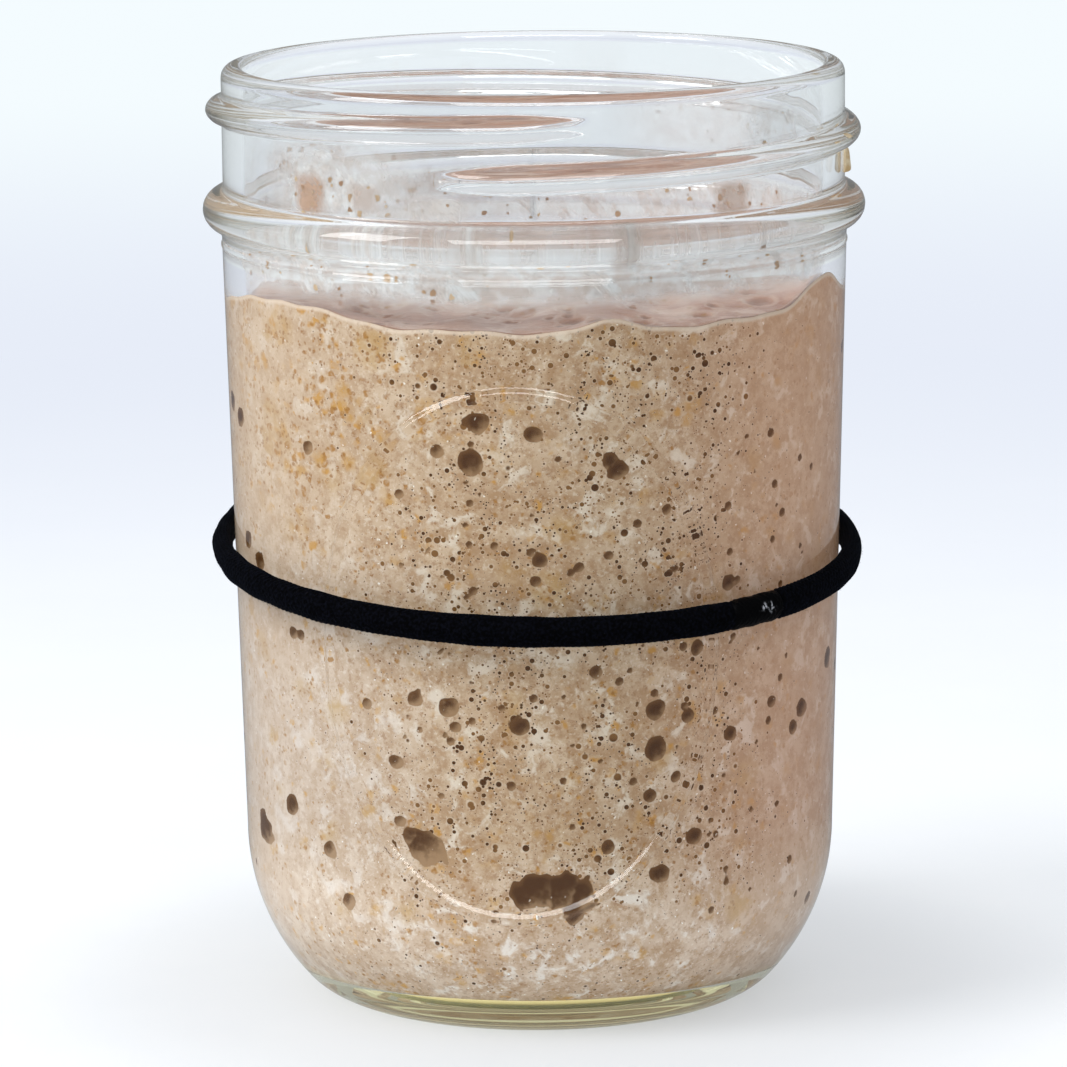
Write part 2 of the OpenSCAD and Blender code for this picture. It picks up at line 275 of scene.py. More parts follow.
links.new(olive.outputs[2], shader.inputs["Base Color"])
tint = nodes.new("ShaderNodeVolumeAbsorption")
tint.inputs["Color"].default_value = (0.55, 0.54, 0.36, 1)
tint.inputs["Density"].default_value = 12.0
links.new(tint.outputs[0], nodes["Material Output"].inputs["Volume"])
jar.data.materials.append(glass)
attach(jar, "jar")
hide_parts("jar")

# Starter. Flour and water paste that has risen to just under the bead, full of gas. It wets the
# glass all round, so that there is no air between them except under its bed, which gas has lifted.
fill_h = 94.0
crown_h = 1.2
peak_h = 3.5
contact = 0.04
bed_gap = 0.3
bed_edge_z = 6.3
# Where it climbs the glass: degrees right of the front, share of the peak, half width in degrees.
climbs = [(69, 1, 12), (-55, 0.62, 20), (14, 0.35, 7), (160, 0.4, 25)]
# Mounds and dips of the skin: place to the right, place to the back, height, reach.
mounds = [
    (20, -3, 2.2, 14), (-20, 8, 1.6, 14), (2, 24, 1.2, 12), (-7, -15, -1.3, 11), (-26, -11, 1.1, 5.5),
    (10, 13, -1.2, 5), (-13, 23, -1.1, 5), (28, 10, -1.1, 4.5), (7, -27, 1.1, 5.5), (-20, -23, -1, 5),
    (-3, 4, 1.2, 5), (16, -17, -1.2, 4.5), (-31, 6, -1.1, 4.5), (24, -20, 0.9, 4.5), (-3, -5, -0.9, 4),
]
# Large bubbles that lie on the glass at the front: degrees right of the front, height, half width.
front_bubbles = [
    (-3.0, 20.6, 2.1), (0.0, 21.6, 2.7), (4.0, 21.4, 2.6), (8.0, 20.8, 2.0), (6.5, 18.0, 1.2),
    (-23.5, 26.6, 2.7), (-26.0, 27.8, 1.5), (-28.5, 29.8, 0.8), (15.5, 76.2, 1.3), (14.0, 77.4, 1.2),
    (-11.0, 82.6, 1.5), (-12.5, 77.4, 1.7), (-19.0, 78.6, 0.9), (-1.0, 81.0, 1.1), (0.5, 64.8, 1.0),
    (-0.5, 62.0, 0.8), (8.0, 63.8, 0.7), (39.5, 60.0, 1.0), (32.0, 52.0, 1.0), (-24.5, 46.2, 0.9),
    (-35.5, 44.8, 0.8), (-17.5, 45.4, 1.3), (-16.5, 42.8, 0.8), (-29.0, 37.6, 1.1), (-3.5, 43.0, 1.2),
    (11.0, 50.2, 0.8), (23.0, 44.4, 1.4), (30.0, 43.2, 1.0), (40.5, 40.0, 1.1), (23.0, 39.0, 1.5),
    (27.5, 35.4, 0.8), (22.0, 33.2, 0.9), (32.0, 27.2, 1.1), (13.5, 26.8, 0.9), (24.0, 22.8, 1.3),
    (-46.5, 24.4, 1.2), (-41.5, 18.2, 1.1), (59.5, 38.6, 1.0), (52.0, 43.0, 0.9), (-48.5, 77.4, 0.8),
]


def waves(points, length, seed, count=20):
    """Smooth random height from about -1 to 1: plane waves of about one length in random directions."""
    rng = np.random.default_rng(seed)
    aim = rng.normal(size=(count, 3))
    aim *= (2 * np.pi / length * rng.uniform(0.7, 1.4, count) / np.linalg.norm(aim, axis=1))[:, None]
    phase = rng.uniform(0, 2 * np.pi, count)
    return np.sin(points @ aim.T + phase).sum(-1) / np.sqrt(count / 2)


def edge_z(turn):
    """Height of the line where the skin meets the glass: the fill height, bell-shaped climbs, and
    small even waves."""
    climb = sum(share * np.exp(-((around_of(turn, at) / half) ** 2)) for at, share, half in climbs)
    return fill_h + peak_h * climb + 0.2 * np.sin(13 * np.radians(turn - 90)) + 0.12 * np.sin(31 * np.radians(turn))


starter_turn = run([-180, -65, 65, 180], [82, 216, 82])[:-1]
starter_cols = starter_turn.size
floor_part = arc(corner_in_r - corner_r, corner_z, corner_r + contact, -90, 0, 44)
lifted = floor_part[:, 1] < bed_edge_z
floor_part[lifted] = arc(corner_in_r - corner_r, corner_z, corner_r - bed_gap, -90, 0, 44)[lifted]
share = np.linspace(0, 1, 152)[1:]
top_share = np.linspace(1, 0, 52)[1:]
edge = edge_z(starter_turn)[None, :]
side_z = corner_z + share[:, None] * (edge - corner_z)
side_r = inner_r(side_z) + contact
bed = np.linspace(0, corner_in_r - corner_r, 8)[:-1]
bed_r = np.repeat(np.concatenate([bed, floor_part[:, 0]])[:, None], starter_cols, 1)
bed_z = np.repeat(np.concatenate([np.full(7, floor_h + bed_gap), floor_part[:, 1]])[:, None], starter_cols, 1)

# Bubbles that lie on the glass are not made as hollows: they are painted dark, with painted shade and
# painted light. For each point the depth inside the nearest bubble's uneven edge is kept on the mesh, in mm, and how
# far below the bubble's middle the point lies, which is where painted light from above falls.
rng = np.random.default_rng(7)
other = np.stack([rng.uniform(62, 310, 90), rng.uniform(14, 88, 90), 0.5 + 1.8 * rng.random(90) ** 3], -1)
small = np.stack([rng.uniform(-30, 62, 120), rng.uniform(16, 82, 120), 0.3 + 0.4 * rng.random(120) ** 1.5], -1)
bubbles = np.concatenate([np.array(front_bubbles), other, small])
side_a = np.radians(starter_turn)[None, :]
skin_r, skin_z = np.concatenate([bed_r, side_r]), np.concatenate([bed_z, side_z])
side_at = np.stack([skin_r * np.sin(side_a), -skin_r * np.cos(side_a), skin_z], -1).reshape(-1, 3)
fine_waves, broad_waves = (waves(side_at, length, seed).reshape(skin_z.shape) for length, seed in ((1.8, 3), (4.5, 4)))
inside_of = np.full(skin_z.shape, -9.0)
lit_low = np.zeros(skin_z.shape)
for turn, height, half in bubbles:
    right = np.radians(around_of(starter_turn, turn))[None, :] * skin_r
    uneven = 1 + (0.06 + 0.005 * half) * fine_waves + (0.04 + 0.05 * half) * broad_waves
    inner = half - np.hypot(right, skin_z - height) * uneven
    # Painted light falls low in each bubble, and more into those at the left, nearer the window.
    low = (0.8 * (height - skin_z) + 0.6 * right) / half + (0.6 if turn < -15 else 0)
    lit_low = np.where(inner > inside_of, low, lit_low)
    inside_of = np.maximum(inside_of, inner)

top_r = top_share[:, None] * (inner_r(edge) + contact)
top_x = top_share[:, None] * mouth_r * np.sin(side_a)
top_y = -top_share[:, None] * mouth_r * np.cos(side_a)
mound = sum(h * np.exp(-((top_x - x) ** 2 + (top_y - y) ** 2) / reach**2) for x, y, h, reach in mounds)
top_at = np.stack([top_x, top_y, np.zeros(top_x.shape)], -1).reshape(-1, 3)
folds = waves(top_at, 9, 11).reshape(top_r.shape)
rng = np.random.default_rng(5)
spots = np.stack([rng.uniform(-36, 36, 300), rng.uniform(-36, 36, 300), np.zeros(300)], -1)
spans = 0.7 + 1.3 * rng.random(300) ** 2.5
far = np.linalg.norm(top_at[:, None, :] - spots[None], axis=2) / spans[None]
near = far.min(1).reshape(top_r.shape)
nearest = far.argmin(1)
burst = (nearest % 3 > 0).reshape(top_r.shape)
span = spans[nearest].reshape(top_r.shape)
cap = np.clip(1 - near**2, 0, 1) ** 0.5 * span
lip = np.exp(-(((near - 1.1) / 0.25) ** 2)) * 0.12 * span
fine = 0.28 * folds + np.where(burst, lip - 0.38 * cap, 0.22 * cap)
shared = top_share[:, None] ** 6
crown = fill_h + crown_h * (1 - top_share[:, None] ** 2)
top_z = crown + (1 - shared) * (mound + fine) + shared * (edge - fill_h)

starter_r = np.concatenate([bed_r, side_r, top_r])
starter_z = np.concatenate([bed_z, side_z, top_z])
starter = skin_of("risen_starter", starter_r, starter_z, starter_turn)
kept_values = (
    ("bubble", np.concatenate([inside_of, np.full(top_r.shape, -9.0)])),
    ("lit_low", np.concatenate([lit_low, np.zeros(top_r.shape)])),
    ("below_edge", np.concatenate([np.full(bed_r.shape, 60.0), edge - side_z, np.zeros(top_r.shape)])),
    ("web", np.concatenate([np.zeros(bed_r.shape), np.zeros(side_r.shape), np.where(burst, near, 0.9 + 0 * near)])),
)
for label, value in kept_values:
    held = starter.data.attributes.new(label, "FLOAT", "POINT")
    held.data.foreach_set("value", np.concatenate([value[:1, 0], value[-1:, 0], value[1:-1].ravel()]).astype(np.float32))


def node_of(tree, kind, **values):
    """A new node of that kind, with its settings or its inputs set by name."""
    made = tree.nodes.new(kind)
    for name, value in values.items():
        if hasattr(made, name):
            setattr(made, name, value)
        else:
            made.inputs[name.replace("_", " ")].default_value = value
    return made


def noise(tree, at, per_m, detail=2.0, rough=0.5):
    """Cloudy pattern with that many features to the metre."""
    made = node_of(tree, "ShaderNodeTexNoise", Scale=per_m, Detail=detail, Roughness=rough)
    tree.links.new(at, made.inputs["Vector"])
    return made.outputs["Fac"]


def ramp(tree, value, low, high, out_low=0.0, out_high=1.0):
    """Smooth step of value from low to high, held at both ends."""
    made = node_of(tree, "ShaderNodeMapRange", interpolation_type="SMOOTHSTEP")
    for name, number in (("From Min", low), ("From Max", high), ("To Min", out_low), ("To Max", out_high)):
        made.inputs[name].default_value = number
    tree.links.new(value, made.inputs["Value"])
    return made.outputs["Result"]


def maths(tree, how, a, b):
    """One sum on sockets or plain numbers."""
    made = node_of(tree, "ShaderNodeMath", operation=how)
    for socket, value in zip(made.inputs, (a, b)):
        if isinstance(value, (int, float)):
            socket.default_value = value
        else:
            tree.links.new(value, socket)
    return made.outputs[0]


def over(tree, share, under, colour):
    """Lays a colour over another by a share from 0 to 1."""
    made = node_of(tree, "ShaderNodeMix", data_type="RGBA")
    tree.links.new(share, made.inputs["Factor"])
    for socket, value in ((made.inputs[6], under), (made.inputs[7], colour)):
        if isinstance(value, tuple):
            socket.default_value = (*value, 1)
        else:
            tree.links.new(value, socket)
    return made.outputs[2]


def cells(tree, at, per_m):
    """Scattered points, per_m to the metre: distance to the nearest in cell widths, and its three
    random numbers."""
    made = node_of(tree, "ShaderNodeTexVoronoi", Scale=per_m)
    tree.links.new(at, made.inputs["Vector"])
    split = tree.nodes.new("ShaderNodeSeparateColor")
    tree.links.new(made.outputs["Color"], split.inputs[0])
    return made.outputs["Distance"], split.outputs


def kept(tree, label):
    """A number kept on the mesh."""
    return node_of(tree, "ShaderNodeAttribute", attribute_name=label).outputs["Fac"]


def ragged(tree, at, per_m, shift):
    """The place, pushed about by a noise of that many features to the metre, by up to the shift."""
    cloud = node_of(tree, "ShaderNodeTexNoise", Scale=per_m, Detail=2.0)
    tree.links.new(at, cloud.inputs["Vector"])
    push = node_of(tree, "ShaderNodeVectorMath", operation="MULTIPLY_ADD")
    tree.links.new(cloud.outputs["Color"], push.inputs[0])
    push.inputs[1].default_value = (shift, shift, shift)
    tree.links.new(at, push.inputs[2])
    return push.outputs[0]


paste = bpy.data.materials.new("flour_paste")
paste.use_nodes = True
tree = paste.node_tree
shader = tree.nodes["Principled BSDF"]
shader.inputs["Roughness"].default_value = 0.5
shader.inputs["Specular IOR Level"].default_value = 0.05
where = tree.nodes.new("ShaderNodeTexCoord").outputs["Object"]
place = tree.nodes.new("ShaderNodeSeparateXYZ")
tree.links.new(where, place.inputs[0])
sideways = maths(tree, "ABSOLUTE", place.outputs[0], 0.0)
crisp = ramp(tree, sideways, 0.034, 0.020, 0.45, 1.0)
at_left_side = ramp(tree, place.outputs[0], -0.004, -0.030)
high_up = ramp(tree, place.outputs[2], 0.055, 0.080)
rough_where = ragged(tree, where, 1400, 0.0007)
wavy_where = ragged(tree, rough_where, 420, 0.0026)
# Paste: cream where it is dense, tan where it is full of fine gas, with a fine reddish net and
# whitish streaks.
colour = over(tree, ramp(tree, noise(tree, where, 420, 6.0, 0.72), 0.38, 0.59), (0.43, 0.272, 0.158), (0.61, 0.46, 0.33))
colour = over(tree, ramp(tree, noise(tree, where, 130, 3.0, 0.6), 0.38, 0.62, 0.0, 0.45), colour, (0.41, 0.25, 0.135))
# Painted light: the left side, nearer the window, is laid a little paler.
colour = over(tree, maths(tree, "MULTIPLY", at_left_side, 0.3), colour, (0.64, 0.51, 0.375))
net = ramp(tree, noise(tree, where, 1100, 4.0, 0.7), 0.54, 0.65, 0.0, 0.6)
colour = over(tree, maths(tree, "MULTIPLY", net, crisp), colour, (0.33, 0.175, 0.085))
pale = ramp(tree, noise(tree, ragged(tree, where, 300, 0.004), 300, 5.0, 0.6), 0.53, 0.66, 0.0, 0.8)
pale = maths(tree, "MULTIPLY", pale, ramp(tree, at_left_side, 0.0, 1.0, 1.0, 0.5))
colour = over(tree, pale, colour, (0.76, 0.665, 0.56))
pale = ramp(tree, noise(tree, where, 1700, 3.0, 0.6), 0.56, 0.68, 0.0, 0.4)
colour = over(tree, maths(tree, "MULTIPLY", pale, crisp), colour, (0.78, 0.68, 0.56))
# Bran: blotches and flecks of ochre, more at the left and at the top.
low_down = ramp(tree, place.outputs[2], 0.026, 0.010)
crowd = maths(tree, "MULTIPLY", at_left_side, high_up)
crowd = maths(tree, "ADD", ramp(tree, noise(tree, where, 140, 2.0), 0.36, 0.60, 0.45, 1.0),
              maths(tree, "SUBTRACT", maths(tree, "MULTIPLY", crowd, 0.45), maths(tree, "MULTIPLY", at_left_side, 0.1)))
for per_m, limit, soft, tone, amount in (
    (170, 0.52, 0.35, (0.46, 0.27, 0.09), 0.7), (330, 0.48, 0.3, (0.50, 0.27, 0.07), 0.8),
    (560, 0.47, 0.2, (0.52, 0.26, 0.05), 0.85), (900, 0.47, 0.16, (0.36, 0.165, 0.035), 0.85),
    (1500, 0.45, 0.14, (0.29, 0.13, 0.035), 0.8),
):
    away, picks = cells(tree, wavy_where if per_m < 600 else rough_where, per_m)
    size = maths(tree, "MULTIPLY", maths(tree, "MULTIPLY", picks[1], crowd), limit)
    fleck = ramp(tree, maths(tree, "SUBTRACT", size, away), -soft / 2, soft)
    fleck = maths(tree, "MULTIPLY", fleck, maths(tree, "GREATER_THAN", picks[0], 0.35))
    fleck = maths(tree, "MULTIPLY", fleck, ramp(tree, noise(tree, where, per_m * 1.6, 3.0), 0.38, 0.58, 0.35 * amount, amount))
    colour = over(tree, fleck, colour, tone)
# Towards the sides the paste is smoother, and its even tone is lighter at the left, a painted light.
even = over(tree, at_left_side, (0.53, 0.375, 0.26), (0.59, 0.44, 0.315))
smooth = maths(tree, "ADD", ramp(tree, place.outputs[0], 0.014, 0.034, 0.0, 0.55), ramp(tree, place.outputs[0], -0.026, -0.038, 0.0, 0.4))
colour = over(tree, smooth, colour, even)
# Pinholes: small gas bubbles on the glass, painted dark as the shade of the hollow they open into the paste, pale round
# the edge.
few = ramp(tree, noise(tree, where, 90, 2.0), 0.36, 0.5, 0.6, 1.0)
few = maths(tree, "MULTIPLY", few, ramp(tree, sideways, 0.036, 0.018, 0.35, 1.0))
few = maths(tree, "MULTIPLY", few, ramp(tree, maths(tree, "MAXIMUM", low_down, at_left_side), 0.0, 1.0, 1.0, 0.62))
holes, halo = None, None
for per_m, limit, chosen in ((2300, 0.34, 0.7), (1500, 0.36, 0.65), (950, 0.37, 0.58), (600, 0.33, 0.52), (370, 0.26, 0.45)):
    away, picks = cells(tree, where, per_m)
    size = maths(tree, "MULTIPLY", maths(tree, "MULTIPLY", picks[1], few), limit)
    gap = maths(tree, "SUBTRACT", size, away)
    taken = maths(tree, "LESS_THAN", picks[2], maths(tree, "MULTIPLY", few, chosen))
    hole = maths(tree, "MULTIPLY", ramp(tree, gap, -0.02, 0.04), taken)
    ring = maths(tree, "MULTIPLY", ramp(tree, gap, -0.10, -0.02), taken)
    holes = hole if holes is None else maths(tree, "MAXIMUM", holes, hole)
    halo = ring if halo is None else maths(tree, "MAXIMUM", halo, ring)
colour = over(tree, maths(tree, "MULTIPLY", halo, 0.3), colour, (0.78, 0.66, 0.53))
# Painted glints: tiny pale specks, most at the middle of the front, where light would catch small bubbles. They also
# give the large bubbles their glints.
away, picks = cells(tree, rough_where, 1150)
speck = ramp(tree, maths(tree, "SUBTRACT", maths(tree, "MULTIPLY", picks[1], 0.2), away), -0.01, 0.04)
speck = maths(tree, "MULTIPLY", maths(tree, "MULTIPLY", speck, crisp), maths(tree, "GREATER_THAN", picks[0], 0.72))
colour = over(tree, maths(tree, "MULTIPLY", speck, 0.8), colour, (0.88, 0.84, 0.77))
# The pinholes' dark colour is painted shade.
hole_tone = over(tree, ramp(tree, noise(tree, where, 300, 1.0), 0.4, 0.6), (0.075, 0.028, 0.006), (0.21, 0.10, 0.033))
colour = over(tree, holes, colour, hole_tone)
# Large bubbles: brown inside and mottled, with painted shade darkest above their middle and deep in, painted light
# lower down, and painted glints.
gas = ramp(tree, kept(tree, "bubble"), -0.05, 0.10)
mottle = ramp(tree, noise(tree, where, 900, 3.0), 0.35, 0.65)
depth = ramp(tree, kept(tree, "bubble"), 0.1, 0.9)
lit = ramp(tree, maths(tree, "ADD", kept(tree, "lit_low"), maths(tree, "MULTIPLY", mottle, 0.45)), 0.0, 1.5)
shade = over(tree, lit, (0.13, 0.058, 0.020), (0.33, 0.20, 0.105))
depth = maths(tree, "MULTIPLY", depth, 0.8)
shade = over(tree, maths(tree, "MULTIPLY", depth, maths(tree, "SUBTRACT", 1.0, lit)), shade, (0.06, 0.022, 0.006))
shade = over(tree, maths(tree, "MULTIPLY", speck, 0.6), shade, (0.75, 0.66, 0.55))
colour = over(tree, gas, colour, shade)
# Dense and pale towards the floor, most at the left, and pinker at the right; painted light also makes the left a
# little paler.
at_right = over(tree, ramp(tree, place.outputs[2], 0.075, 0.035), (1.10, 0.95, 0.91), (1.11, 0.975, 0.99))
tint = over(tree, ramp(tree, place.outputs[0], 0.008, 0.032), (1.0, 0.99, 0.96), at_right)
at_left = over(tree, ramp(tree, place.outputs[2], 0.075, 0.035), (1.03, 1.045, 1.08), (1.09, 1.19, 1.39))
tint = over(tree, ramp(tree, place.outputs[0], -0.006, -0.030), tint, at_left)
tint = over(tree, ramp(tree, place.outputs[2], 0.030, 0.012, 0.0, 0.8), tint, (1.35, 1.46, 1.65))
toned = node_of(tree, "ShaderNodeMix", data_type="RGBA", blend_type="MULTIPLY")
toned.inputs["Factor"].default_value = 1.0
tree.links.new(colour, toned.inputs[6])
tree.links.new(tint, toned.inputs[7])
film = ramp(tree, kept(tree, "below_edge"), 0.75, 0.25)
colour = over(tree, maths(tree, "MULTIPLY", film, 0.7), toned.outputs[2], (0.76, 0.62, 0.50))
# Painted light: the lifted bed under the paste is laid pale yellow, a painted glow of light that the thick base carries
# to it.
colour = over(tree, ramp(tree, place.outputs[2], 0.0060, 0.0055), colour, (0.95, 0.90, 0.66))
tree.links.new(colour, shader.inputs["Base Color"])
bump = node_of(tree, "ShaderNodeBump", Strength=0.3, Distance=0.0004)
tree.links.new(noise(tree, where, 900, 4.0, 0.7), bump.inputs["Height"])
tree.links.new(bump.outputs[0], shader.inputs["Normal"])

wet = bpy.data.materials.new("wet_skin")
wet.use_nodes = True
tree = wet.node_tree
shader = tree.nodes["Principled BSDF"]
shader.inputs["Roughness"].default_value = 0.28
where = tree.nodes.new("ShaderNodeTexCoord").outputs["Object"]
web = kept(tree, "web")
colour = over(tree, ramp(tree, noise(tree, where, 110, 6.0, 0.65), 0.36, 0.64), (0.39, 0.185, 0.115), (0.57, 0.325, 0.225))
folds = ramp(tree, noise(tree, ragged(tree, where, 120, 0.012), 170, 6.0, 0.6), 0.50, 0.66, 0.0, 0.55)
colour = over(tree, folds, colour, (0.72, 0.56, 0.46))
# Burst bubbles: paler on their raised lips, and darker inside their hollows, a painted shade.
lip = maths(tree, "MULTIPLY", ramp(tree, web, 0.8, 1.0), ramp(tree, web, 1.35, 1.1))
colour = over(tree, maths(tree, "MULTIPLY", lip, 0.35), colour, (0.72, 0.57, 0.47))
colour = over(tree, maths(tree, "MULTIPLY", ramp(tree, web, 0.9, 0.4), 0.7), colour, (0.25, 0.115, 0.065))
away, picks = cells(tree, where, 700)
fleck = maths(tree, "MULTIPLY", maths(tree, "LESS_THAN", away, maths(tree, "MULTIPLY", picks[1], 0.3)),
              maths(tree, "GREATER_THAN", picks[0], 0.5))
colour = over(tree, maths(tree, "MULTIPLY", fleck, 0.7), colour, (0.42, 0.22, 0.08))
tree.links.new(colour, shader.inputs["Base Color"])
bump = node_of(tree, "ShaderNodeBump", Strength=0.4, Distance=0.0006)
tree.links.new(noise(tree, where, 500, 4.0, 0.65), bump.inputs["Height"])
tree.links.new(bump.outputs[0], shader.inputs["Normal"])
starter.data.materials.append(paste)
starter.data.materials.append(wet)
side_faces = (bed_r.shape[0] + side_r.shape[0] - 2) * starter_cols
all_quads = (starter_r.shape[0] - 3) * starter_cols
slots = np.zeros(len(starter.data.polygons), int)
slots[side_faces:all_quads] = 1
slots[all_quads + starter_cols:] = 1
starter.data.polygons.foreach_set("material_index", slots)
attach(starter, "jar")
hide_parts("starter")

# Dried smears. Paste that was wiped and splashed on the inside of the neck and has dried to a thin
# pale film, with crumbs of bran in it, and the haze that the rising starter left all round.
# Each: degrees right of the front from and to, height from and to, how thick it lies, how brown.
smear_places = [
    (-52, -41, 106.6, 114.0, 1.1, 1.0), (-38, -29, 108.0, 113.0, 0.8, 0.55), (-18, -7, 95.5, 107.5, 0.95, 0.5),
    (13, 21, 100.5, 108.5, 0.95, 0.6), (34, 46, 105.5, 113.0, 1.0, 0.8), (-29, -9, 105.8, 112.0, 0.95, 0.35),
    (-66, -14, 103.5, 119.5, 0.8, 0.0), (-80, -34, 101.4, 106.8, 1.15, 0.1), (38, 66, 112.5, 123.0, 0.72, 0.0),
    (60, 100, 102.0, 110.0, 0.8, 0.3), (110, 170, 105.0, 120.0, 0.5, 0.1), (-150, -95, 103.0, 114.0, 0.75, 0.2),
    (-60, 60, 96.5, 102.5, 0.75, 0.0),
]
haze_places = [(-180, 180, 94.6, 108.5, 0.8, 0.1), (-180, 180, 103.5, 123.0, 0.15, 0.0)]


def flake_of(place, cols, rows, depth, out=-0.1):
    """Points, faces, thickness share and brownness of a flake at that depth inside the neck's glass
    skin: two grids a thickness apart that meet along their border, where the thickness runs out."""
    turn_low, turn_high, low, high, amount, brown = place
    u = np.linspace(0, 1, cols)[None, :]
    v = np.linspace(0, 1, rows)[:, None]
    turn = np.radians(turn_low + (turn_high - turn_low) * u + 0 * v)
    z = low + (high - low) * v + 0 * u
    plump = np.clip(np.minimum(u, 1 - u) * cols, 0, 3) * np.clip(np.minimum(v, 1 - v) * rows, 0, 3) / 9
    round_it = turn_high - turn_low > 359
    fade = swell_of(np.minimum(v, 1 - v) * 2.6) * (1.0 if round_it else swell_of(np.minimum(u, 1 - u) * 2.6))
    glass_r = np.where(z >= shoulder_z, mouth_r, inner_r(z)) - depth
    grids = []
    for offset in (0.0, out):
        r = glass_r + offset * plump
        grids.append(np.stack([r * np.sin(turn), -r * np.cos(turn), z], -1).reshape(-1, 3))
    at = np.arange(rows * cols).reshape(rows, cols)
    inner_at = np.where(plump > 0, at + rows * cols, at)
    towards_glass = np.stack([at[:-1, :-1], at[:-1, 1:], at[1:, 1:], at[1:, :-1]], -1).reshape(-1, 4)
    away = np.stack([inner_at[:-1, :-1], inner_at[1:, :-1], inner_at[1:, 1:], inner_at[:-1, 1:]], -1).reshape(-1, 4)
    share = np.tile((fade * amount + 0 * z).ravel(), 2)
    return np.concatenate(grids), np.concatenate([towards_glass, away]), share, np.full(share.size, brown)


def joined(parts):
    """Points, faces and further numbers of several meshes as one, without points that no face uses."""
    start, faces = 0, []
    for part in parts:
        faces.append(part[1] + start)
        start += len(part[0])
    used, faces_now = np.unique(np.concatenate(faces), return_inverse=True)
    others = [np.concatenate([part[k] for part in parts])[used] for k in range(len(parts[0])) if k != 1]
    return others[0], faces_now.reshape(-1, 4), *others[1:]


flakes = [flake_of(p, 240, 26, 0.05 + 0.01 * k, -0.04) for k, p in enumerate(haze_places)]
flakes += [flake_of(p, int((p[1] - p[0]) * 1.6) + 8, int((p[3] - p[2]) * 2.4) + 8, 0.09 + 0.015 * k)
           for k, p in enumerate(smear_places)]
points, faces, laid, brown = joined(flakes)
smears = piece_of("dried_smears", points, faces.tolist())
for label, value in (("laid", laid), ("brown", brown)):
    held = smears.data.attributes.new(label, "FLOAT", "POINT")
    held.data.foreach_set("value", value.astype(np.float32))
crust = bpy.data.materials.new("dried_starter")
crust.use_nodes = True
tree = crust.node_tree
shader = tree.nodes["Principled BSDF"]
shader.inputs["Roughness"].default_value = 0.6
where = tree.nodes.new("ShaderNodeTexCoord").outputs["Object"]
streaked = node_of(tree, "ShaderNodeMapping", vector_type="TEXTURE", Rotation=(0.0, -0.7, 0.0), Scale=(1.0, 1.0, 2.4))
tree.links.new(where, streaked.inputs["Vector"])
streaked = streaked.outputs[0]
grain = noise(tree, where, 520, 4.0, 0.65)
colour = over(tree, ramp(tree, grain, 0.4, 0.62), (0.74, 0.67, 0.63), (0.86, 0.85, 0.85))
colour = over(tree, ramp(tree, maths(tree, "ADD", kept(tree, "brown"), maths(tree, "MULTIPLY", grain, 0.5)), 0.45, 1.1),
              colour, (0.58, 0.33, 0.19))
away, picks = cells(tree, ragged(tree, where, 1400, 0.0005), 900)
crumb = ramp(tree, maths(tree, "SUBTRACT", maths(tree, "MULTIPLY", picks[1], 0.5), away), -0.02, 0.05)
crumb = maths(tree, "MULTIPLY", crumb, maths(tree, "GREATER_THAN", picks[0], 0.75))
crumb_tone = over(tree, picks[2], (0.30, 0.14, 0.05), (0.62, 0.45, 0.27))
colour = over(tree, crumb, colour, crumb_tone)
tree.links.new(colour, shader.inputs["Base Color"])
laid = kept(tree, "laid")
cloud = noise(tree, ragged(tree, streaked, 120, 0.006), 240, 8.0, 0.72)
wide = ramp(tree, cloud, 0.33, 0.66)
thick = maths(tree, "MULTIPLY", laid, maths(tree, "ADD", 0.25, maths(tree, "MULTIPLY", wide, 1.2)))
thin = ramp(tree, laid, 0.0, 0.9, 0.0, 0.38)
thick = maths(tree, "MAXIMUM", ramp(tree, thick, 0.30, 1.15, 0.0, 0.75), thin)
crumbs_here = maths(tree, "MULTIPLY", crumb, ramp(tree, maths(tree, "ADD", laid, maths(tree, "MULTIPLY", cloud, 0.6)), 0.78, 0.95))
tree.links.new(maths(tree, "MAXIMUM", thick, crumbs_here), shader.inputs["Alpha"])
smears.data.materials.append(crust)
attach(smears, "jar")
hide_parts("neck_smears")

# Dried drip. A drop of starter that ran over the thread at the right and set there, ochre with bran.
drip_turn = 84.0
drip_rows, drip_cols = 34, 26
v = np.linspace(0, 1, drip_rows)[:, None]
u = np.linspace(-1, 1, drip_cols)[None, :]
drip_z = 112.9 - 3.4 * (1 - v) + 0 * u
half_width = 0.55 + 0.55 * np.sin(np.pi * (0.25 + 0.6 * (1 - v)))
drip_a = np.radians(drip_turn) + u * half_width / neck_r
hump = np.clip(1 - u**2, 0, 1) ** 0.5 * np.clip(1 - (2 * v - 1) ** 8, 0, 1) ** 0.5
drip_out = neck_r - 0.05 + 1.0 * hump * (0.6 + 0.4 * (1 - v))
drip_grids = [np.stack([r * np.sin(drip_a), -r * np.cos(drip_a), drip_z], -1).reshape(-1, 3)
              for r in (neck_r - 0.05 + 0 * hump, drip_out)]
at = np.arange(drip_rows * drip_cols).reshape(drip_rows, drip_cols)
front_at = np.where(hump > 1e-9, at + at.size, at)
inner_quads = np.stack([at[:-1, :-1], at[1:, :-1], at[1:, 1:], at[:-1, 1:]], -1).reshape(-1, 4)
outer_quads = np.stack([front_at[:-1, :-1], front_at[:-1, 1:], front_at[1:, 1:], front_at[1:, :-1]], -1).reshape(-1, 4)
points, faces = joined([(np.concatenate(drip_grids), np.concatenate([inner_quads, outer_quads]))])
drip = piece_of("dried_drip", points, faces.tolist())
drop = bpy.data.materials.new("dried_drop")
drop.use_nodes = True
tree = drop.node_tree
shader = tree.nodes["Principled BSDF"]
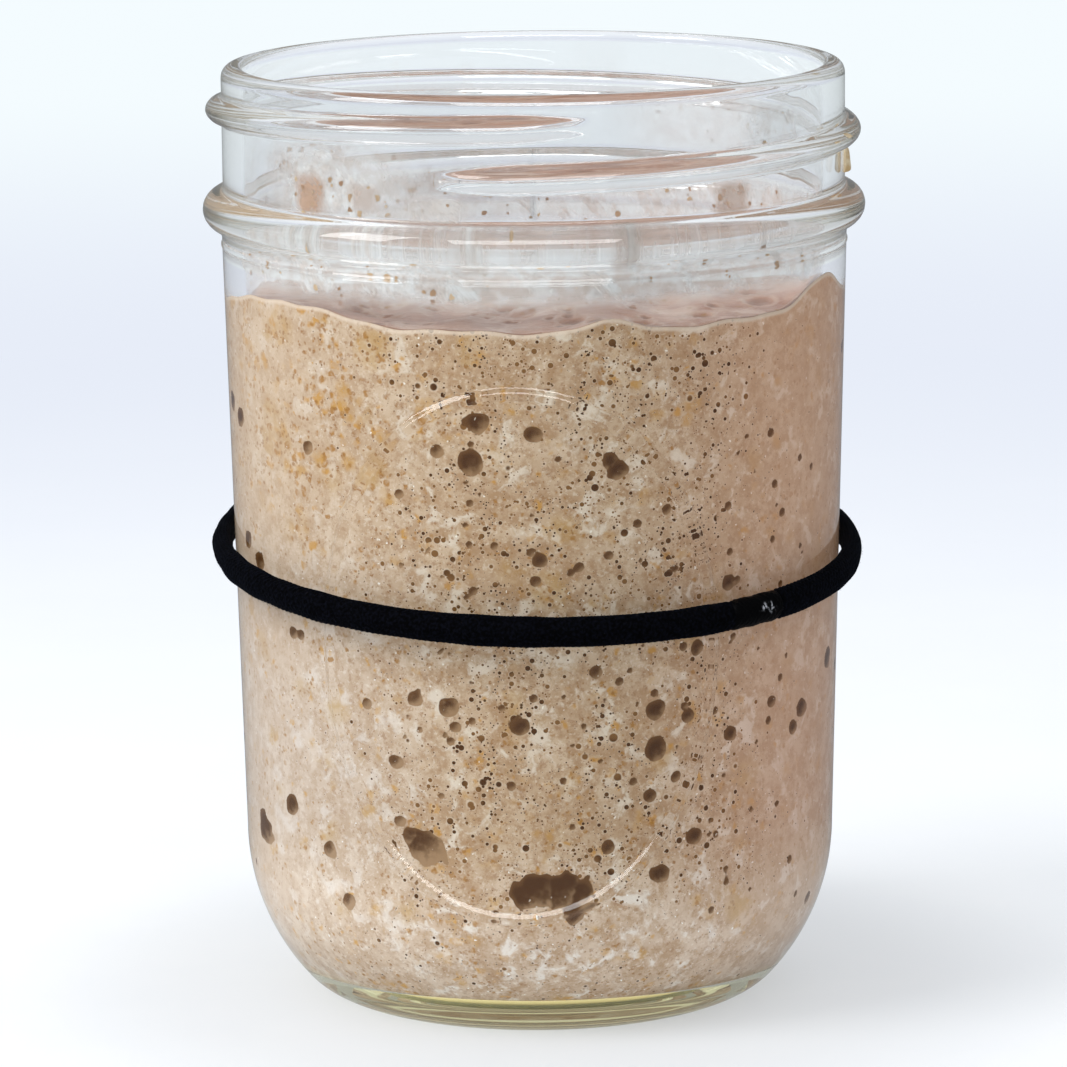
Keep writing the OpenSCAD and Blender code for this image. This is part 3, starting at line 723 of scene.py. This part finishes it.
shader.inputs["Roughness"].default_value = 0.4
where = tree.nodes.new("ShaderNodeTexCoord").outputs["Object"]
colour = over(tree, ramp(tree, noise(tree, where, 600, 3.0), 0.4, 0.6), (0.50, 0.34, 0.16), (0.66, 0.54, 0.36))
tree.links.new(colour, shader.inputs["Base Color"])
drip.data.materials.append(drop)
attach(drip, "jar")
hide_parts("thread_drip")

# Hair tie. A loop of black braided polyester over rubber strands that grips the jar at half height
# and slopes down to the front. Its ends meet in a glued joint at the right.
tie_z = 59.8
tie_mid_r = 41.66
tie_half_t = 1.43
tie_half_h = 1.96
# Towards the glass the tie is flatter, most at the back and where it rides over the oval's rib, so
# that it hugs the wall and still clears it at the top of its travel.
tie_crest = 1.5
tie_flat = 0.84
tie_back_room = 0.27
tie_back_turn = 190
tie_rib_room = 0.34
tie_rib_turns = (-39, 31)
tie_rib_half = 8
tie_slope = np.radians(5.0)
tie_lean = np.radians(1.0)
joint_turn = 41.5
joint_l = 9.5
carriers = 10
picks_round = 320
tie_steps = 1440
tie_sides = 60


def braid_at(a, b):
    """Height of a plain braid, 0 to 1: strands of half-round section run along whole numbers of a
    and of b, and each rises over every second strand of the other set."""
    over_a = np.sqrt(1 - (2 * (a % 1) - 1) ** 2) * (0.5 + 0.5 * np.cos(np.pi * (b - np.floor(a) - 0.5)))
    over_b = np.sqrt(1 - (2 * (b % 1) - 1) ** 2) * (0.5 - 0.5 * np.cos(np.pi * (a - np.floor(b) - 0.5)))
    return np.maximum(over_a, over_b)


def on_tie(turn, out, up):
    """Places on the tie: turned from the front to the right in degrees, out and up from the middle
    of its section in mm. The whole loop is tilted down to the front and a little to the side."""
    a = np.radians(turn)
    over_rib = sum(np.exp(-((around_of(turn, at) / tie_rib_half) ** 2)) for at in tie_rib_turns)
    flat = tie_flat - tie_back_room * ((1 + np.cos(a - np.radians(tie_back_turn))) / 2) ** 2.5 - tie_rib_room * over_rib
    out = np.where(out < 0, flat * np.maximum(out, -tie_crest), out)
    r = tie_mid_r + out
    x, y, z = r * np.sin(a), -r * np.cos(a), up
    y, z = y * np.cos(tie_slope) - z * np.sin(tie_slope), y * np.sin(tie_slope) + z * np.cos(tie_slope)
    x, z = x * np.cos(tie_lean) + z * np.sin(tie_lean), z * np.cos(tie_lean) - x * np.sin(tie_lean)
    return np.stack([x, y - 0.1, z + tie_z], -1)


def tube_of(name, turn, out, up, ring):
    """A tube round the tie's course: sections down the rows, at out and up from their middle. A ring
    joins its last section to its first, and otherwise both end sections shrink to one point."""
    rows, cols = out.shape
    points = on_tie(turn, out, up).reshape(-1, 3)
    i, j = np.meshgrid(np.arange(rows if ring else rows - 1), np.arange(cols), indexing="ij")
    k, l = (i + 1) % rows, (j + 1) % cols
    faces = np.stack([i * cols + j, k * cols + j, k * cols + l, i * cols + l], -1).reshape(-1, 4)
    piece = piece_of(name, points, faces.tolist())
    if not ring:
        shape = bmesh.new()
        shape.from_mesh(piece.data)
        bmesh.ops.remove_doubles(shape, verts=shape.verts, dist=1e-7)
        shape.to_mesh(piece.data)
        shape.free()
    return piece


tie_turn = (joint_turn + np.arange(tie_steps) * 360 / tie_steps)[:, None]
tie_around = (np.arange(tie_sides) * 2 * np.pi / tie_sides)[None, :]
along = np.arange(tie_steps)[:, None] / tie_steps * picks_round
across = np.arange(tie_sides)[None, :] / tie_sides * carriers
lift = 0.17 * braid_at(across + along, across - along) - 0.1
wear = waves(np.stack([41 * np.sin(np.radians(tie_turn)), 41 * np.cos(np.radians(tie_turn)), 0 * tie_turn], -1).reshape(-1, 3), 7, 21)
lift = lift + 0.05 * wear.reshape(-1, 1)
in_joint = np.abs(around_of(tie_turn, joint_turn)) < (joint_l / 2 - 0.4) / tie_mid_r * 180 / np.pi
lift = np.where(in_joint, -0.12 + 0 * lift, lift)
braid = tube_of(
    "braided_tie", tie_turn, (tie_half_t + lift) * np.cos(tie_around), (tie_half_h + lift) * np.sin(tie_around), True)
cloth = bpy.data.materials.new("black_braid")
cloth.use_nodes = True
tree = cloth.node_tree
shader = tree.nodes["Principled BSDF"]
shader.inputs["Roughness"].default_value = 0.85
shader.inputs["Specular IOR Level"].default_value = 0.03
shader.inputs["Sheen Weight"].default_value = 0.015
shader.inputs["Sheen Roughness"].default_value = 0.4
shader.inputs["Sheen Tint"].default_value = (0.3, 0.5, 1.0, 1)
where = tree.nodes.new("ShaderNodeTexCoord").outputs["Object"]
colour = over(tree, ramp(tree, noise(tree, where, 2600, 2.0, 0.6), 0.4, 0.7), (0.0002, 0.0002, 0.0006), (0.0022, 0.0026, 0.0056))
tree.links.new(colour, shader.inputs["Base Color"])
bump = node_of(tree, "ShaderNodeBump", Strength=0.6, Distance=0.0002)
tree.links.new(noise(tree, where, 5200, 2.0, 0.6), bump.inputs["Height"])
tree.links.new(bump.outputs[0], shader.inputs["Normal"])
braid.data.materials.append(cloth)
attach(braid, "hair_tie")
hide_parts("band_sleeve")

# Fuzz. Short loose fibres that stand off the braid all round.
rng = np.random.default_rng(31)
hairs = 2600
hair_turn = rng.uniform(0, 360, hairs)[:, None]
hair_around = rng.uniform(0, 2 * np.pi, hairs)[:, None]
bend = np.linspace(0, 1, 4)[None, :]
reach = rng.uniform(0.1, 0.42, hairs)[:, None] * bend ** 0.7 * np.where(np.cos(hair_around) < 0, 0.1, 1.0)
drift = rng.uniform(-1, 1, hairs)[:, None] * bend
swirl = rng.uniform(-0.35, 0.35, hairs)[:, None] * bend
sides = []
for width in (-0.016, 0.016):
    a = hair_around + swirl
    thin = width * (1 - 0.8 * bend)
    sides.append(on_tie(hair_turn + drift + 2 * thin, (tie_half_t - 0.05 + reach) * np.cos(a),
                        (tie_half_h - 0.05 + reach) * np.sin(a) + thin))
points = np.stack(sides, 2).reshape(-1, 3)
first = (np.arange(hairs) * 8)[:, None] + np.arange(3)[None, :] * 2
faces = np.stack([first, first + 1, first + 3, first + 2], -1).reshape(-1, 4)
fuzz = piece_of("tie_fuzz", points, faces.tolist())
fuzz.data.materials.append(cloth)
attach(fuzz, "hair_tie")

# Glued joint. The tie's two ends are pushed together and held by a short sleeve of clear glue, which
# has dried shiny, with pale specks.
joint_steps, joint_sides = 90, 60
s = np.linspace(-1, 1, joint_steps)[:, None]
g = (np.arange(joint_sides) * 2 * np.pi / joint_sides)[None, :]
joint_turns = joint_turn + s * joint_l / 2 / tie_mid_r * 180 / np.pi
run_along = s * joint_l / 2 / (2 * np.pi * tie_mid_r) * picks_round
run_across = np.arange(joint_sides)[None, :] / joint_sides * carriers
glue_lift = 0.0 + 0.06 * braid_at(run_across + run_along, run_across - run_along)
glue_lift = glue_lift + 0.05 * np.sin(9 * s + 3 * g)
close = np.clip(1 - np.abs(s) ** 14, 0, 1)
out = (tie_half_t + glue_lift) * np.cos(g) * close
up = (tie_half_h + glue_lift) * np.sin(g) * close
collar = tube_of("glued_joint", joint_turns, out, up, False)
glue = bpy.data.materials.new("dried_glue")
glue.use_nodes = True
tree = glue.node_tree
shader = tree.nodes["Principled BSDF"]
shader.inputs["Roughness"].default_value = 0.5
shader.inputs["Specular IOR Level"].default_value = 0.04
where = tree.nodes.new("ShaderNodeTexCoord").outputs["Object"]
speck = ramp(tree, noise(tree, ragged(tree, where, 900, 0.001), 1300, 4.0, 0.7), 0.53, 0.62)
patch = ramp(tree, noise(tree, where, 260, 1.0), 0.56, 0.64)
colour = over(tree, maths(tree, "MULTIPLY", speck, patch), (0.0005, 0.0005, 0.001), (0.42, 0.43, 0.46))
tree.links.new(colour, shader.inputs["Base Color"])
bump = node_of(tree, "ShaderNodeBump", Strength=0.5, Distance=0.0003)
tree.links.new(noise(tree, where, 1800, 3.0, 0.6), bump.inputs["Height"])
tree.links.new(bump.outputs[0], shader.inputs["Normal"])
collar.data.materials.append(glue)
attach(collar, "hair_tie")
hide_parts("band_joint")

# Rubber strands inside the braid, seen by nobody: matt black.
core = bpy.data.materials.new("black_rubber")
core.use_nodes = True
tree = core.node_tree
shader = tree.nodes["Principled BSDF"]
shader.inputs["Roughness"].default_value = 0.7
where = tree.nodes.new("ShaderNodeTexCoord").outputs["Object"]
colour = over(tree, noise(tree, where, 900, 2.0), (0.01, 0.01, 0.01), (0.03, 0.03, 0.03))
tree.links.new(colour, shader.inputs["Base Color"])
core_node = bpy.data.objects["band_core"]
core_node.data.materials.clear()
core_node.data.materials.append(core)

# Floor and light. A pale table under a large soft lamp at the left, in a white room.
table = bpy.data.meshes.new("table")
table.from_pydata([(-6, -3, 0), (6, -3, 0), (6, 9, 0), (-6, 9, 0)], [], [(0, 1, 2, 3)])
table_top = bpy.data.objects.new("table", table)
bpy.context.scene.collection.objects.link(table_top)
pale = bpy.data.materials.new("pale_table")
pale.use_nodes = True
tree = pale.node_tree
shader = tree.nodes["Principled BSDF"]
shader.inputs["Roughness"].default_value = 0.8
where = tree.nodes.new("ShaderNodeTexCoord").outputs["Object"]
path = tree.nodes.new("ShaderNodeLightPath")
seen = maths(tree, "MAXIMUM", maths(tree, "MAXIMUM", path.outputs["Is Camera Ray"], path.outputs["Is Glossy Ray"]),
             path.outputs["Is Transmission Ray"])
colour = over(tree, ramp(tree, noise(tree, where, 9, 4.0, 0.6), 0.4, 0.62), (0.83, 0.85, 0.885), (0.87, 0.885, 0.91))
off = tree.nodes.new("ShaderNodeVectorMath")
off.operation = "LENGTH"
tree.links.new(where, off.inputs[0])
# Painted shadow: for rays through the glass the table is darkened close under the jar.
shaded = maths(tree, "MULTIPLY", path.outputs["Is Transmission Ray"], ramp(tree, off.outputs["Value"], 0.024, 0.018, 0.0, 0.4))
colour = over(tree, maths(tree, "ADD", maths(tree, "MULTIPLY", seen, 0.4), shaded), colour, (0.0, 0.0, 0.0))
tree.links.new(colour, shader.inputs["Base Color"])
far_off = ramp(tree, off.outputs["Value"], 0.10, 0.55)
far_tone = over(tree, ramp(tree, off.outputs["Value"], 0.55, 1.1), (0.80, 0.845, 0.94), (0.905, 0.97, 1.0))
backdrop = node_of(tree, "ShaderNodeEmission", Strength=1.0)
tree.links.new(far_tone, backdrop.inputs["Color"])
# Painted light: for rays through the glass the table under the base glows pale yellow, standing in for light that the
# thick base throws onto it.
under = maths(tree, "MULTIPLY", ramp(tree, off.outputs["Value"], 0.046, 0.032), path.outputs["Is Transmission Ray"])
glow = tree.nodes.new("ShaderNodeEmission")
tree.links.new(over(tree, under, (0.94, 0.97, 1.0), (0.85, 0.73, 0.42)), glow.inputs["Color"])
# The table's added glow is weaker close under the jar, a painted shade, and stronger farther out, painted light that
# pales the jar's shadow.
share = ramp(tree, off.outputs["Value"], 0.045, 0.085, 0.38, 0.51)
share = maths(tree, "MULTIPLY", share, ramp(tree, off.outputs["Value"], 0.017, 0.022, 0.3, 1.0))
tree.links.new(maths(tree, "ADD", maths(tree, "MULTIPLY", seen, share), maths(tree, "MULTIPLY", under, ramp(tree, off.outputs["Value"], 0.014, 0.024, 0.05, 0.45))), glow.inputs["Strength"])
both = tree.nodes.new("ShaderNodeAddShader")
tree.links.new(shader.outputs[0], both.inputs[0])
tree.links.new(glow.outputs[0], both.inputs[1])
either = tree.nodes.new("ShaderNodeMixShader")
tree.links.new(maths(tree, "MULTIPLY", far_off, seen), either.inputs["Fac"])
tree.links.new(both.outputs[0], either.inputs[1])
tree.links.new(backdrop.outputs[0], either.inputs[2])
dim = tree.nodes.new("ShaderNodeMixShader")
mirrored = maths(tree, "MULTIPLY", path.outputs["Is Glossy Ray"], path.outputs["Is Reflection Ray"])
tree.links.new(maths(tree, "MULTIPLY", mirrored, ramp(tree, off.outputs["Value"], 0.045, 0.10, 0.35, 0.72)), dim.inputs["Fac"])
tree.links.new(either.outputs[0], dim.inputs[1])
tree.links.new(node_of(tree, "ShaderNodeEmission", Strength=0.0).outputs[0], dim.inputs[2])
tree.links.new(dim.outputs[0], tree.nodes["Material Output"].inputs["Surface"])
table.materials.append(pale)

world = bpy.data.worlds.new("white_room")
bpy.context.scene.world = world
world.use_nodes = True
world.node_tree.nodes["Background"].inputs["Color"].default_value = (0.93, 0.965, 1, 1)
tree = world.node_tree
path = tree.nodes.new("ShaderNodeLightPath")
mirrored = maths(tree, "MULTIPLY", path.outputs["Is Glossy Ray"], path.outputs["Is Reflection Ray"])
tree.links.new(maths(tree, "SUBTRACT", 0.82, maths(tree, "MULTIPLY", mirrored, 0.5)), tree.nodes["Background"].inputs["Strength"])

lamp = bpy.data.lights.new("window", "AREA")
lamp.shape = "RECTANGLE"
lamp.size = 0.55
lamp.size_y = 0.7
lamp.energy = 9.0
window = bpy.data.objects.new("window", lamp)
bpy.context.scene.collection.objects.link(window)
window.matrix_world = (
    Matrix.Translation((-0.95, -0.42, 0.72))
    @ Matrix.Rotation(np.radians(-66), 4, "Z")
    @ Matrix.Rotation(np.radians(56), 4, "X")
)

# A long reflector above the front gives the thin lines of light on the bead, thread and oval.
lamp = bpy.data.lights.new("reflector", "AREA")
lamp.shape = "RECTANGLE"
lamp.size = 1.0
lamp.size_y = 0.4
lamp.energy = 8.0
reflector = bpy.data.objects.new("reflector", lamp)
bpy.context.scene.collection.objects.link(reflector)
reflector.visible_diffuse = False
reflector.matrix_world = Matrix.Translation((0.0, -0.86, 0.62)) @ Matrix.Rotation(np.radians(57), 4, "X")

# Camera, at the photograph's place: level with the eye of someone who looks a little down.
camera = bpy.data.cameras.new("camera")
camera.sensor_width = 36.0
camera.lens = 5825.0 / 1067 * 36
camera.clip_end = 20
view = bpy.data.objects.new("camera", camera)
bpy.context.scene.collection.objects.link(view)
tilt = 90 - 10.77
roll = -0.567
view.matrix_world = (
    Matrix.Translation((-0.000493, -0.76185, 0.20586))
    @ Matrix.Rotation(np.radians(tilt), 4, "X")
    @ Matrix.Rotation(np.radians(roll), 4, "Z")
)
bpy.context.scene.camera = view
bpy.context.scene.view_settings.view_transform = "Standard"
# Light turns many times inside thick glass before it comes out.
paths = bpy.context.scene.cycles
paths.max_bounces = 32
paths.glossy_bounces = 24
paths.transmission_bounces = 32
paths.transparent_max_bounces = 32
